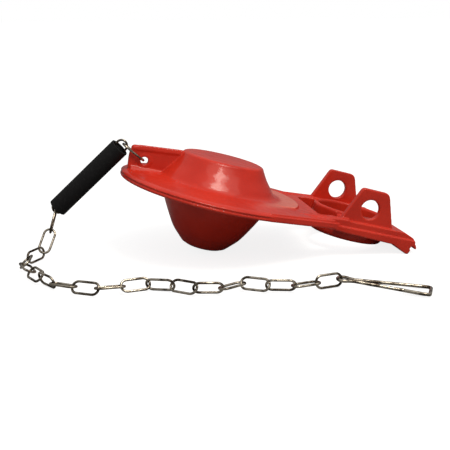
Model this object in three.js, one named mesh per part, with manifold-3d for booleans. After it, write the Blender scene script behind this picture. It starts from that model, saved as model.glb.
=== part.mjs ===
import * as THREE from 'three';
import { mergeVertices } from 'three/addons/utils/BufferGeometryUtils.js';
import Module from 'manifold-3d';

// A rubber cistern flapper with its float, its chain and the chain's wire clip, lying as it
// comes to rest on a flat surface. Millimetres, Z up, nose toward -X, the chain toward -Y.

const wasm = await Module();
wasm.setup();

// driving dimensions of the flapper, in its own frame: the disc's seat plane is z = 0
const DISC_RADIUS = 41.0;
const DISC_TOP = 3.1;
const WALL = 2.3;
const DOME_TOP_RADIUS = 16.8;
const DOME_BASE_RADIUS = 24.2;
const DOME_HEIGHT = 15.6;
const BULB_RADIUS = 23.6;
const BULB_DEPTH = 23.0;
const BULB_FOOT_RADIUS = 8.0;
const DRAIN_RADIUS = 4.5;
const DISC_SEGMENTS = 64;

// driving dimensions of the fin at the nose
const FIN_THICKNESS = 2.4;
const FIN_SETBACK = 1.8;
const FIN_FRONT = FIN_SETBACK - DISC_RADIUS;
const FIN_FRONT_HEIGHT = 13.6;
const FIN_BEAD_RADIUS = 1.45;
const EYE_SETBACK = 6.7;
const EYE_X = FIN_FRONT + EYE_SETBACK;
const EYE_Z = 7.8;
const EYE_RADIUS = 1.6;
const EYE_COLLAR = 1.2;
const EYE_COLLAR_RISE = 0.2;

// driving dimensions of the tail, its ring and its ears
const TAIL_HALF_WIDTH = 25.2;
const TAIL_TOP = 4.1;
const TAIL_STEP = 0.8;
const FAIRING_ANGLE = 68;
const PAD_INSET = 5.7;
const PAD_RISE = 0.9;
const WINDOW_OUTSET = 0.2;
const WINDOW_START = DISC_RADIUS + WINDOW_OUTSET;
const WINDOW_HALF_WIDTH = 17.6;
const RING_REACH = 19.7;
const RING_X = DISC_RADIUS + RING_REACH;
const RING_RADIUS = 16.3;
const PIPE_BORE = 28.6;
const RING_RISE = 1.5;
const SKIRT_DEPTH = 5.3;
const TAIL_REACH = 21.9;
const TAIL_END = RING_X + TAIL_REACH;
const EAR_THICKNESS = 2.6;
const EAR_SPACING = 43.3;
const EAR_TOP = 18.6;
const EAR_TOP_WIDTH = 10.8;
const EAR_BASE_WIDTH = 22.6;
const HINGE_SETBACK = 0.6;
const HINGE_X = RING_X - HINGE_SETBACK;
const HINGE_Z = 10.2;
const HINGE_BORE = 8.2;

// driving dimensions of the chain, its float and its clip
const LINK_LENGTH = 11.6;
const LINK_WIDTH = 5.5;
const LINK_WIRE = 0.95;
const LINK_GAP = 0.3;
const HELD_SLACK = 1.2;
const WIRE_SIDES = 8;
const BEND_STEPS = 7;
const FLOAT_DIAMETER = 8.0;
const FLOAT_BORE_GAP = 0.35;
const FLOAT_LENGTH = 37.9;
const FLOAT_START = 3.4;
const CLIP_WIRE = 1.3;
const CLIP_LENGTH = 31.0;
const CLIP_WIDTH = 9.0;
const CLIP_EYE_RADIUS = 2.3;
const CLIP_HEADING = -25;
const SURFACE_GAP = 0.05;

const BAR = LINK_LENGTH - LINK_WIRE;
const BEND_RADIUS = (LINK_WIDTH - LINK_WIRE) / 2;
const HOOK = LINK_WIRE + LINK_GAP;
const LYING_HEIGHT = LINK_WIDTH / 2 + 4 * SURFACE_GAP;

const deg = THREE.MathUtils.degToRad;
const at = (x, y, z) => new THREE.Vector3(x, y, z);

// materials
function rubber() {
  return new THREE.MeshStandardMaterial({ color: 0xc03226, roughness: 0.55, metalness: 0 });
}

function foam() {
  return new THREE.MeshStandardMaterial({ color: 0x1a1a1b, roughness: 0.95, metalness: 0 });
}

function plated() {
  return new THREE.MeshStandardMaterial({ color: 0xa9a397, roughness: 0.3, metalness: 1 });
}

// from a surface to a closed solid and back
function solid(geometry) {
  const bare = new THREE.BufferGeometry();
  bare.setAttribute('position', geometry.getAttribute('position'));
  if (geometry.index) bare.setIndex(geometry.index);
  const merged = mergeVertices(bare, 1e-4);
  return new wasm.Manifold(new wasm.Mesh({
    numProp: 3,
    vertProperties: new Float32Array(merged.getAttribute('position').array),
    triVerts: new Uint32Array(merged.index.array),
  }));
}

function surface(body) {
  const mesh = body.getMesh();
  const geometry = new THREE.BufferGeometry();
  geometry.setAttribute('position', new THREE.BufferAttribute(mesh.vertProperties, 3));
  geometry.setIndex(new THREE.BufferAttribute(mesh.triVerts, 1));
  geometry.computeVertexNormals();
  return geometry;
}

function named(name, geometry, material) {
  const mesh = new THREE.Mesh(geometry, material);
  mesh.name = name;
  return mesh;
}

// an outline drawn in plan, raised between two heights
function plate(points, low, high, holes = []) {
  const shape = new THREE.Shape(points.map(([x, y]) => new THREE.Vector2(x, y)));
  for (const hole of holes) {
    shape.holes.push(new THREE.Path(hole.map(([x, y]) => new THREE.Vector2(x, y))));
  }
  const geometry = new THREE.ExtrudeGeometry(shape, { depth: high - low, bevelEnabled: false });
  geometry.translate(0, 0, low);
  return solid(geometry);
}

// an outline drawn in x and z, as thick as asked and centred on y
function upright(points, y, thickness) {
  const shape = new THREE.Shape(points.map(([x, z]) => new THREE.Vector2(x, z)));
  const geometry = new THREE.ExtrudeGeometry(shape, { depth: thickness, bevelEnabled: false });
  geometry.rotateX(Math.PI / 2);
  geometry.translate(0, y + thickness / 2, 0);
  return solid(geometry);
}

// a round bar along y
function pin(x, y, z, radius, length, sides = 32) {
  const geometry = new THREE.CylinderGeometry(radius, radius, length, sides);
  geometry.translate(x, y, z);
  return solid(geometry);
}

// a ring or a cup turned about an upright axis
function turned(profile, segments, x = 0) {
  const points = profile.map(([r, z]) => new THREE.Vector2(r, z));
  const geometry = new THREE.LatheGeometry(points, segments);
  geometry.rotateX(Math.PI / 2);
  geometry.translate(x, 0, 0);
  const body = solid(geometry);
  return body.volume() < 0 ? solid(flipped(geometry)) : body;
}

function flipped(geometry) {
  const index = geometry.index.array;
  for (let i = 0; i < index.length; i += 3) {
    [index[i], index[i + 1]] = [index[i + 1], index[i]];
  }
  return geometry;
}

// points along an arc, in degrees
function arc(cx, cy, radius, from, to, steps) {
  return Array.from({ length: steps + 1 }, (_, i) => {
    const angle = deg(from + ((to - from) * i) / steps);
    return [cx + radius * Math.cos(angle), cy + radius * Math.sin(angle)];
  });
}

// the disc with its grooved rim, the raised dome above it and the hollow bulb below
function discProfile() {
  const wall = WALL;
  const roof = DOME_HEIGHT - wall;
  const outer = [
    [DRAIN_RADIUS, -BULB_DEPTH],
    [BULB_FOOT_RADIUS - 0.6, -BULB_DEPTH],
    [BULB_FOOT_RADIUS + 1.6, -BULB_DEPTH + 1.0],
    [BULB_RADIUS * 0.49, -BULB_DEPTH * 0.87],
    [BULB_RADIUS * 0.63, -BULB_DEPTH * 0.71],
    [BULB_RADIUS * 0.79, -BULB_DEPTH * 0.435],
    [BULB_RADIUS * 0.91, -BULB_DEPTH * 0.2],
    [BULB_RADIUS * 0.98, -BULB_DEPTH * 0.05],
    [BULB_RADIUS, 0],
    [DISC_RADIUS - 1.2, 0],
    [DISC_RADIUS - 0.3, 0.35],
    [DISC_RADIUS, 0.85],
    [DISC_RADIUS - 0.25, 1.3],
    [DISC_RADIUS - 1.0, 1.45],
    [DISC_RADIUS - 1.0, 1.75],
    [DISC_RADIUS - 0.35, 1.9],
    [DISC_RADIUS - 0.2, 2.4],
    [DISC_RADIUS - 0.9, DISC_TOP - 0.2],
    [DISC_RADIUS - 2.2, DISC_TOP],
    [DOME_BASE_RADIUS + 6.0, DISC_TOP + 0.25],
    [DOME_BASE_RADIUS + 1.6, DISC_TOP + 0.7],
    [DOME_BASE_RADIUS, DISC_TOP + 1.7],
    [DOME_BASE_RADIUS - 1.7, DISC_TOP + 4.2],
    [(DOME_BASE_RADIUS + DOME_TOP_RADIUS) / 2 - 0.6, DISC_TOP + 7.4],
    [DOME_TOP_RADIUS + 1.2, DOME_HEIGHT - 1.9],
    [DOME_TOP_RADIUS + 0.4, DOME_HEIGHT - 0.6],
    [DOME_TOP_RADIUS - 0.7, DOME_HEIGHT],
    [0, DOME_HEIGHT],
  ];
  const inner = [
    [0, roof],
    [DOME_TOP_RADIUS - wall, roof],
    [DOME_TOP_RADIUS - 0.9, roof - 1.2],
    [DOME_BASE_RADIUS - 3.6, DISC_TOP + 1.2],
    [BULB_RADIUS - wall, 0],
    [BULB_RADIUS * 0.91 - wall, -BULB_DEPTH * 0.2],
    [BULB_RADIUS * 0.79 - wall, -BULB_DEPTH * 0.42],
    [BULB_RADIUS * 0.63 - wall, -BULB_DEPTH * 0.68],
    [BULB_RADIUS * 0.49 - wall, -BULB_DEPTH * 0.81],
    [DRAIN_RADIUS, -BULB_DEPTH + wall],
  ];
  return [...outer, ...inner, outer[0]];
}

// the upright fin at the nose, with its rounded top bead and the eye for the chain
function fin() {
  const top = FIN_FRONT_HEIGHT;
  const front = FIN_FRONT;
  const outline = [
    [front + 0.6, DISC_TOP - 1.2],
    [-DOME_TOP_RADIUS + 3, DISC_TOP - 1.2],
    [-DOME_TOP_RADIUS + 3, DOME_HEIGHT - 0.4],
    [-DOME_TOP_RADIUS - 1.5, DOME_HEIGHT - 0.4],
    [front + 3.2, top],
    [front + 1.2, top - 0.6],
    [front + 0.2, top - 2.2],
    [front, top - 4.0],
  ];
  const web = upright(outline, 0, FIN_THICKNESS);
  const start = at(front + 1.7, 0, top - FIN_BEAD_RADIUS);
  const end = at(-DOME_TOP_RADIUS + 1.5, 0, DOME_HEIGHT - FIN_BEAD_RADIUS - 0.2);
  const bead = capsule(start, end, FIN_BEAD_RADIUS);
  const collar = pin(EYE_X, 0, EYE_Z, EYE_RADIUS + EYE_COLLAR, FIN_THICKNESS + 2 * EYE_COLLAR_RISE, 24);
  return web.add(bead).add(collar);
}

// a round bar with round ends between two points
function capsule(start, end, radius) {
  const length = start.distanceTo(end);
  const geometry = new THREE.CapsuleGeometry(radius, length, 4, 14);
  const turn = new THREE.Quaternion().setFromUnitVectors(
    at(0, 1, 0),
    end.clone().sub(start).normalize(),
  );
  geometry.applyQuaternion(turn);
  const middle = start.clone().add(end).multiplyScalar(0.5);
  geometry.translate(middle.x, middle.y, middle.z);
  return solid(geometry);
}

// the tail's side: level top, sloping underside, and the end with its lip, groove and lug
function tailSide(top) {
  const end = TAIL_END;
  return [
    [30, 0],
    [38, 0],
    [52, -0.9],
    [end - 9.4, -1.7],
    [end - 4.4, -4.0],
    [end - 3.0, -4.6],
    [end - 2.0, -4.4],
    [end - 1.3, -2.6],
    ...arc(end - 0.5, -2.2, 1.3, 205, 60, 5).slice(1, -1),
    [end + 0.7, -2.2],
    [end + 1.1, -1.3],
    [end + 0.6, -0.3],
    [end, 0.2],
    [end, 1.2],
    [end - 1.0, Math.min(top, 2.4)],
    [end - 5.5, top],
    [46, top],
    [38, Math.min(top, DISC_TOP)],
    [30, Math.min(top, DISC_TOP)],
  ];
}

// the two arms and the cross plate that carries the ring
function tail() {
  const half = TAIL_HALF_WIDTH;
  const lower = plate(
    [[30, -half], [TAIL_END + 2, -half], [TAIL_END + 2, half], [30, half]],
    -10,
    1.6,
  );
  const upper = plate(
    [
      [30, -half + TAIL_STEP],
      [TAIL_END + 2, -half + TAIL_STEP],
      [TAIL_END + 2, half - TAIL_STEP],
      [30, half - TAIL_STEP],
    ],
    1.5,
    12,
  );
  const side = upright(tailSide(TAIL_TOP), 0, 2 * half + 2);
  const body = side.intersect(lower.add(upper));
  const window = plate(windowOutline(), -12, 12);
  return body.subtract(window);
}

// the straight web that fairs the disc's edge into an arm
function fairing(side) {
  const turn = (FAIRING_ANGLE * Math.PI) / 180;
  const web = (inset, low, high) => {
    const radius = DISC_RADIUS - inset;
    const half = TAIL_HALF_WIDTH - inset;
    const meet = (radius - half * Math.sin(turn)) / Math.cos(turn);
    const outline = [
      [radius * Math.cos(turn), radius * Math.sin(turn)],
      [(radius - 6) * Math.cos(turn), (radius - 6) * Math.sin(turn)],
      [WINDOW_START - 8, half - 3],
      [meet, half - 3],
      [meet, half],
    ];
    return plate(outline.map(([x, y]) => [x, side * y]), low, high);
  };
  return web(0, 0, 1.6).add(web(TAIL_STEP, 1.5, DISC_TOP));
}

// the raised pad on the disc, between the dome and the tail
function pad() {
  const radius = DISC_RADIUS - PAD_INSET;
  const near = DOME_BASE_RADIUS / 3;
  const outline = [
    [near, -DOME_BASE_RADIUS],
    [radius * 0.51, -DOME_BASE_RADIUS + 3.4],
    [radius * 0.71, -DOME_BASE_RADIUS + 4.6],
    ...arc(0, 0, radius, -29, 29, 10),
    [radius * 0.71, DOME_BASE_RADIUS - 4.6],
    [radius * 0.51, DOME_BASE_RADIUS - 3.4],
    [near, DOME_BASE_RADIUS],
  ];
  const core = DOME_BASE_RADIUS - 1.6;
  const round = turned([[0, -12], [core, -12], [core, 12], [0, 12]], 48);
  return plate(outline, DISC_TOP - 0.6, DISC_TOP + PAD_RISE).subtract(round);
}

// the opening between the disc and the ring, with round corners
function windowOutline() {
  const front = WINDOW_START;
  const half = WINDOW_HALF_WIDTH;
  const inset = 2.0;
  const back = RING_X - Math.sqrt(RING_RADIUS ** 2 - 12.5 ** 2);
  return [
    ...arc(front + inset, -half + inset, inset, 180, 270, 3),
    [back - 1.5, -half],
    [back, -12.5],
    [RING_X - 2, 0],
    [back, 12.5],
    [back - 1.5, half],
    ...arc(front + inset, half - inset, inset, 90, 180, 3),
  ];
}

// the collar that slips over a standpipe: a raised bead above and a skirt below
function ringProfile() {
  const inner = PIPE_BORE / 2;
  const outer = RING_RADIUS;
  return [
    [inner, -SKIRT_DEPTH + 0.4],
    [inner + 0.4, -SKIRT_DEPTH],
    [outer - 0.9, -SKIRT_DEPTH],
    [outer - 0.2, -SKIRT_DEPTH + 0.7],
    [outer, -SKIRT_DEPTH + 1.6],
    [outer, TAIL_TOP + RING_RISE - 0.6],
    [outer - 0.5, TAIL_TOP + RING_RISE],
    [inner + 0.5, TAIL_TOP + RING_RISE],
    [inner, TAIL_TOP + RING_RISE - 0.5],
    [inner, -SKIRT_DEPTH + 0.4],
  ];
}

// an ear with a hinge hole, on each side of the ring
function ear(side) {
  const base = EAR_BASE_WIDTH / 2;
  const top = EAR_TOP_WIDTH / 2;
  const lean = -0.3;
  const outline = [
    [HINGE_X - base - 0.8, TAIL_TOP - 1.4],
    [HINGE_X + base + 0.8, TAIL_TOP - 1.4],
    [HINGE_X + base, TAIL_TOP + 0.4],
    [HINGE_X + top + 0.9, EAR_TOP - 2.1],
    [HINGE_X + top + 0.5, EAR_TOP - 0.8],
    [HINGE_X + top - 0.9, EAR_TOP + lean * 0.5],
    [HINGE_X - top + 0.9, EAR_TOP],
    [HINGE_X - top - 0.5, EAR_TOP - 0.7],
    [HINGE_X - base, TAIL_TOP + 0.4],
  ];
  return upright(outline, (side * EAR_SPACING) / 2, EAR_THICKNESS);
}

// the rubber moulding as one body
function flapperBody() {
  let body = turned(discProfile(), DISC_SEGMENTS);
  body = body.add(fin().subtract(turned(domeSpace(), DISC_SEGMENTS)));
  body = body.add(pad());
  const beyond = plate([[30, -60], [100, -60], [100, 60], [30, 60]], -10, 20);
  const round = turned([[0, -12], [BULB_RADIUS + 4, -12], [BULB_RADIUS + 4, 12], [0, 12]], 48);
  body = body.add(tail().intersect(beyond).subtract(round));
  body = body.add(fairing(-1)).add(fairing(1));
  body = body.add(turned(ringProfile(), 48, RING_X));
  const pipe = pinUpright(RING_X, PIPE_BORE / 2, -12, 12);
  body = body.subtract(pipe);
  for (const side of [-1, 1]) {
    body = body.add(ear(side));
    const y = (side * EAR_SPACING) / 2;
    body = body.subtract(pin(HINGE_X, y, HINGE_Z, HINGE_BORE / 2, EAR_THICKNESS + 2));
  }
  return body.subtract(pin(EYE_X, 0, EYE_Z, EYE_RADIUS, FIN_THICKNESS + 6, 20));
}

// the hollow inside the dome, which the fin must not fill
function domeSpace() {
  const roof = DOME_HEIGHT - WALL;
  return [
    [0, -2],
    [BULB_RADIUS - WALL, -2],
    [DOME_BASE_RADIUS - 3.6, DISC_TOP + 1.2],
    [DOME_TOP_RADIUS - 0.9, roof - 1.2],
    [DOME_TOP_RADIUS - WALL, roof],
    [0, roof],
  ];
}

function pinUpright(x, radius, low, high) {
  const geometry = new THREE.CylinderGeometry(radius, radius, high - low, 48);
  geometry.rotateX(Math.PI / 2);
  geometry.translate(x, 0, (low + high) / 2);
  return solid(geometry);
}

// how far the flapper tips, nose up, when it lies on the bulb's foot and the tail's lug
function restTilt() {
  const foot = at(BULB_FOOT_RADIUS - 0.6, 0, -BULB_DEPTH);
  const lug = at(TAIL_END - 3.0, 0, -4.6);
  return Math.atan2(lug.z - foot.z, lug.x - foot.x);
}

const TILT = restTilt();

// from the flapper's own frame to the resting frame, with the surface at z = 0
function resting(point) {
  const foot = at(BULB_FOOT_RADIUS - 0.6, 0, -BULB_DEPTH).applyAxisAngle(at(0, 1, 0), TILT);
  const found = point.clone().applyAxisAngle(at(0, 1, 0), TILT);
  found.z -= foot.z;
  return found;
}

// one bent wire: rings of points round a path, closed into a loop or capped at its ends
function bentWire(path, binormal, radius, closed) {
  const positions = [];
  const index = [];
  const count = path.length;
  path.forEach((point, i) => {
    const before = closed ? path[(i + count - 1) % count] : path[Math.max(i - 1, 0)];
    const after = closed ? path[(i + 1) % count] : path[Math.min(i + 1, count - 1)];
    const arrive = point.clone().sub(before).normalize();
    const leave = after.clone().sub(point).normalize();
    const along = arrive.clone().add(leave).normalize();
    const stretch = 1 / Math.max(0.7, arrive.lengthSq() && leave.lengthSq() ? along.dot(leave) : 1);
    const across = along.clone().cross(binormal).normalize();
    const over = across.clone().cross(along).normalize();
    for (let k = 0; k < WIRE_SIDES; k += 1) {
      const angle = (2 * Math.PI * (k + 0.5)) / WIRE_SIDES;
      const place = point.clone()
        .addScaledVector(across, radius * Math.cos(angle) * stretch)
        .addScaledVector(over, radius * Math.sin(angle));
      positions.push(place.x, place.y, place.z);
    }
  });
  const last = closed ? count : count - 1;
  for (let i = 0; i < last; i += 1) {
    const here = i * WIRE_SIDES;
    const there = ((i + 1) % count) * WIRE_SIDES;
    for (let k = 0; k < WIRE_SIDES; k += 1) {
      const next = (k + 1) % WIRE_SIDES;
      index.push(here + k, here + next, there + k);
      index.push(here + next, there + next, there + k);
    }
  }
  if (!closed) {
    const end = (count - 1) * WIRE_SIDES;
    for (let k = 1; k < WIRE_SIDES - 1; k += 1) {
      index.push(0, k + 1, k);
      index.push(end, end + k, end + k + 1);
    }
  }
  const geometry = new THREE.BufferGeometry();
  geometry.setAttribute('position', new THREE.BufferAttribute(new Float32Array(positions), 3));
  geometry.setIndex(new THREE.BufferAttribute(new Uint32Array(index), 1));
  const body = solid(geometry);
  return body.volume() < 0 ? surface(solid(flipped(geometry))) : surface(body);
}

// one welded oval link, from the middle of its first bar along a direction
function linkGeometry(link) {
  const { start, along, across } = link;
  const straight = BAR - 2 * BEND_RADIUS;
  const path = [];
  const place = (s, w) => start.clone().addScaledVector(along, s).addScaledVector(across, w);
  for (const [s, w] of arc(BEND_RADIUS, 0, BEND_RADIUS, 90, 270, BEND_STEPS)) {
    path.push(place(s, w));
  }
  for (const [s, w] of arc(BEND_RADIUS + straight, 0, BEND_RADIUS, 270, 450, BEND_STEPS)) {
    path.push(place(s, w));
  }
  const binormal = along.clone().cross(across).normalize();
  return bentWire(path, binormal, LINK_WIRE / 2, true);
}

// a link's two directions from its heading in plan, its slope and its roll about itself
function posed(heading, slope, roll) {
  const h = deg(heading);
  const s = deg(slope);
  const r = deg(roll);
  const along = at(Math.cos(h) * Math.cos(s), Math.sin(h) * Math.cos(s), Math.sin(s));
  const level = at(-Math.sin(h), Math.cos(h), 0);
  const raised = along.clone().cross(level);
  const across = level.multiplyScalar(Math.cos(r)).addScaledVector(raised, Math.sin(r));
  return { along, across: across.normalize() };
}

// where the next link's first bar sits: behind this link's last bar, pulled square to it
function hooked(link, next, slack = 0) {
  const pull = next.along.clone().addScaledVector(link.across, -next.along.dot(link.across));
  const end = link.start.clone().addScaledVector(link.along, BAR);
  return end.addScaledVector(pull.normalize(), -HOOK - slack);
}

// the chain's lie: the nose link, the float, then link by link its heading and roll in degrees
const NOSE_LIE = [180, 41.7, 0];
const FLOAT_LIE = [163, -43];
const FLOAT_ROLLS = [90, 0];
const HELD_LINKS = 5;
const HANGING_LIE = [
  [244.5, 67],
  [234.6, -23],
];
const LYING_LIE = [
  [235.2, -82],
  [264.3, 38],
  [286.0, -22],
  [294.4, 46],
  [301.2, -74],
  [322.4, -12],
  [329.3, 50],
  [9.3, -12],
  [10.2, 48],
  [334.2, -69],
  [321.1, 48],
  [354.8, -66],
  [26.3, -8],
  [332.8, 52],
  [348.3, -66],
  [10.0, -6],
  [12.7, 78],
];

// the slope that brings a lying link halfway back to the height at which the row lies
function levelled(previous, heading, roll) {
  let slope = 0;
  for (let i = 0; i < 4; i += 1) {
    const link = posed(heading, slope, roll);
    const rise = (LYING_HEIGHT - hooked(previous, link).z) / BAR;
    slope = THREE.MathUtils.radToDeg(Math.asin(THREE.MathUtils.clamp(rise, -1, 1)));
  }
  return slope;
}

// every link of the chain in order, with its frame, for one slope of the hanging links
function chainAt(slope) {
  const links = [];
  const add = (name, lie, slack) => {
    const link = { name, ...posed(...lie) };
    link.start = hooked(links.at(-1), link, slack);
    links.push(link);
  };
  const nose = { name: 'nose_link', ...posed(...NOSE_LIE) };
  const bow = BEND_RADIUS - Math.sqrt(BEND_RADIUS ** 2 - (FIN_THICKNESS / 2 + EYE_COLLAR_RISE) ** 2);
  const reach = EYE_RADIUS - LINK_WIRE / 2 - LINK_GAP - bow;
  nose.start = resting(at(EYE_X, 0, EYE_Z)).add(at(-reach, 0, 0));
  links.push(nose);
  for (let i = 0; i < HELD_LINKS; i += 1) {
    add(`float_link_${i + 1}`, [...FLOAT_LIE, FLOAT_ROLLS[i % 2]], i ? HELD_SLACK : 0);
  }
  HANGING_LIE.forEach(([heading, roll], i) => {
    add(`chain_link_0${i + 1}`, [heading, slope, roll], 0);
  });
  LYING_LIE.forEach(([heading, roll], i) => {
    const number = HANGING_LIE.length + i + 1;
    const level = levelled(links.at(-1), heading, roll);
    add(`chain_link_${String(number).padStart(2, '0')}`, [heading, level, roll], 0);
  });
  return links;
}

// the chain whose hanging links slope just enough to end at the height of the lying row
function chainLinks() {
  const lastHanging = HELD_LINKS + HANGING_LIE.length;
  let [steep, level] = [-80, 0];
  for (let i = 0; i < 24; i += 1) {
    const slope = (steep + level) / 2;
    const link = chainAt(slope)[lastHanging];
    if (link.start.z + link.along.z * BAR > LYING_HEIGHT) level = slope;
    else steep = slope;
  }
  return chainAt((steep + level) / 2);
}

// the foam tube threaded over the held links
function floatTube(first) {
  const bore = Math.hypot(LINK_WIDTH, LINK_WIRE) / 2 + FLOAT_BORE_GAP;
  const outer = FLOAT_DIAMETER / 2;
  const low = 0;
  const high = FLOAT_LENGTH;
  const profile = [
    [bore, low],
    [outer - 0.25, low],
    [outer, low + 0.25],
    [outer, high - 0.25],
    [outer - 0.25, high],
    [bore, high],
    [bore, low],
  ];
  const points = profile.map(([r, z]) => new THREE.Vector2(r, z));
  const geometry = new THREE.LatheGeometry(points, 32);
  const turn = new THREE.Quaternion().setFromUnitVectors(at(0, 1, 0), first.along);
  geometry.applyQuaternion(turn);
  const base = first.start.clone().addScaledVector(first.along, FLOAT_START);
  geometry.translate(base.x, base.y, base.z);
  const body = solid(geometry);
  return body.volume() < 0 ? surface(solid(flipped(geometry))) : surface(body);
}

// rounds the corners of a bent wire's path
function eased(points, radius, steps = 4) {
  const path = [points[0]];
  for (let i = 1; i < points.length - 1; i += 1) {
    const [before, corner, after] = [points[i - 1], points[i], points[i + 1]];
    const back = before.clone().sub(corner);
    const on = after.clone().sub(corner);
    const reach = Math.min(radius, back.length() * 0.45, on.length() * 0.45);
    const from = corner.clone().addScaledVector(back.normalize(), reach);
    const to = corner.clone().addScaledVector(on.normalize(), reach);
    for (let k = 0; k <= steps; k += 1) {
      const t = k / steps;
      path.push(
        from.clone().multiplyScalar((1 - t) ** 2)
          .addScaledVector(corner, 2 * t * (1 - t))
          .addScaledVector(to, t ** 2),
      );
    }
  }
  path.push(points.at(-1));
  return path;
}

// the wire clip: an eye on the last link, two spreading arms and the hook that catches one
function clipPath() {
  const r = CLIP_EYE_RADIUS;
  const wire = CLIP_WIRE;
  const neck = wire * 0.7;
  const half = CLIP_WIDTH / 2;
  const end = CLIP_LENGTH;
  const beside = wire + LINK_GAP;
  const hook = [
    at(end * 0.7, half - wire * 0.7 + beside, wire * 0.48),
    at(end - wire * 1.15, half + beside, wire * 0.48),
    at(end, half + beside - wire * 0.48, wire * 0.38),
    at(end + wire * 0.3, -half + wire * 0.57, 0),
    at(end - wire * 0.57, -half, 0),
    at(r + wire * 1.35, -neck, 0),
  ];
  const open = Math.asin(neck / r) * (180 / Math.PI) + 18;
  const eyeArc = arc(0, 0, r, -open, open - 360, 14).map(([u, v]) => at(u, v, 0));
  const back = [at(r + wire * 1.35, neck, 0), at(end - wire * 1.05, half - wire * 0.1, 0)];
  const front = eased(hook, wire * 0.86);
  return [...front, ...eyeArc, ...back];
}

function chainClip(last) {
  const heading = deg(CLIP_HEADING);
  const axis = last.start.clone().addScaledVector(last.along, BAR);
  const drop = Math.asin((axis.z - CLIP_WIRE / 2 - SURFACE_GAP) / CLIP_LENGTH);
  const along = at(
    Math.cos(heading) * Math.cos(drop),
    Math.sin(heading) * Math.cos(drop),
    -Math.sin(drop),
  );
  const side = at(Math.sin(heading), -Math.cos(heading), 0);
  const over = side.clone().cross(along).normalize();
  const hold = (LINK_WIRE + CLIP_WIRE) / 2 + LINK_GAP;
  const centre = axis.clone().addScaledVector(along, CLIP_EYE_RADIUS - hold);
  const up = over.z > 0 ? over : over.negate();
  const path = clipPath().map((p) => centre.clone()
    .addScaledVector(along, p.x)
    .addScaledVector(side, p.y)
    .addScaledVector(up, p.z));
  return bentWire(path, up, CLIP_WIRE / 2, false);
}

// the whole object, its box standing on z = 0 and centred on the origin
function build() {
  const group = new THREE.Group();
  const moulding = named('flapper', surface(flapperBody()), rubber());
  const foot = at(BULB_FOOT_RADIUS - 0.6, 0, -BULB_DEPTH).applyAxisAngle(at(0, 1, 0), TILT);
  moulding.geometry.rotateY(TILT);
  moulding.geometry.translate(0, 0, -foot.z);
  group.add(moulding);
  const links = chainLinks();
  for (const link of links) group.add(named(link.name, linkGeometry(link), plated()));
  group.add(named('float_tube', floatTube(links[1]), foam()));
  group.add(named('chain_clip', chainClip(links.at(-1)), plated()));
  const box = new THREE.Box3().setFromObject(group);
  const centre = box.getCenter(at(0, 0, 0));
  for (const mesh of group.children) {
    mesh.geometry.translate(-centre.x, -centre.y, -box.min.z);
    mesh.geometry.computeVertexNormals();
  }
  return group;
}

export default build();
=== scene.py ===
"""A rubber cistern flapper with its foam float, its link chain and the chain's wire clip.

The moulding, the float, the links and the clip are rebuilt as smooth forms over the frame's
solids, dressed in procedural finishes, and set on a pale floor under soft studio light.
"""
import logging
import math
from dataclasses import dataclass
from enum import Enum

import bmesh
import bpy
import numpy as np
from bpy.types import ID, Material, Mesh, Node, NodeSocket, NodeTree, Object
from mathutils import Matrix, Vector


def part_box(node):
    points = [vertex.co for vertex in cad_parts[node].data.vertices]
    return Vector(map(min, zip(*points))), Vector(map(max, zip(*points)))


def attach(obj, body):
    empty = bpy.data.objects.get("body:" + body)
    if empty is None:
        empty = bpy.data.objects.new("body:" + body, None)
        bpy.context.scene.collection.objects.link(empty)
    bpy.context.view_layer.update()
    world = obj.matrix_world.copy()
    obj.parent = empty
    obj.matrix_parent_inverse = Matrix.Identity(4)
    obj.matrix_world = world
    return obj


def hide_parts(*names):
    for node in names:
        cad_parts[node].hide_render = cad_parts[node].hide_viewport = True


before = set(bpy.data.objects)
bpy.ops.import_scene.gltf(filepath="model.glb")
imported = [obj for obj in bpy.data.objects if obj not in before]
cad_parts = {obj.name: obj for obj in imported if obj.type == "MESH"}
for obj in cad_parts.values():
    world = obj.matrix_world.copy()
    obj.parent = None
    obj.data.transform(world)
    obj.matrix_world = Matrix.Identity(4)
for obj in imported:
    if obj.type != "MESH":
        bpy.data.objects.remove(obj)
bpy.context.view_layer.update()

MM = 0.001
SEED = 7
PAST_TAIL = 12.0
SIDES_SMALL = 64
SIDES_WIDE = 96
SIDES_PIPE = 160
SIDES_DISC = 224
log = logging.getLogger("flapper")
Point = tuple[float, float]
Triple = tuple[float, float, float]


class Body(str, Enum):
    """The frame's bodies, but for those that are named after their one link."""

    FLAPPER = "flapper"
    HELD = "held_links"
    FLOAT = "float"
    CLIP = "chain_clip"


class Slot(str, Enum):
    """The record's material slots."""

    RUBBER = "red_rubber"
    FOAM = "black_foam"
    WIRE = "plated_wire"


class Op(str, Enum):
    """What a cut or a join does with two closed meshes."""

    ADD = "UNION"
    CUT = "DIFFERENCE"
    KEEP = "INTERSECT"


# Mesh helpers


def add_object(name: str, data: ID) -> Object:
    """Make an object and put it in the scene.

    Args:
        name: The object's name.
        data: Its mesh, lamp or camera.

    Returns:
        The new object.
    """
    obj = bpy.data.objects.new(name, data)
    bpy.context.scene.collection.objects.link(obj)
    return obj


def new_object(name: str, verts: list, faces: list) -> Object:
    """Make a linked mesh object whose faces look outward.

    Args:
        name: The object's name.
        verts: Points in metres.
        faces: Tuples of point numbers.

    Returns:
        The new object.
    """
    mesh = bpy.data.meshes.new(name)
    mesh.from_pydata([tuple(v) for v in verts], [], faces)
    tidy = bmesh.new()
    tidy.from_mesh(mesh)
    bmesh.ops.remove_doubles(tidy, verts=tidy.verts, dist=1e-7)
    bmesh.ops.recalc_face_normals(tidy, faces=tidy.faces)
    tidy.to_mesh(mesh)
    tidy.free()
    return add_object(name, mesh)


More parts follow.
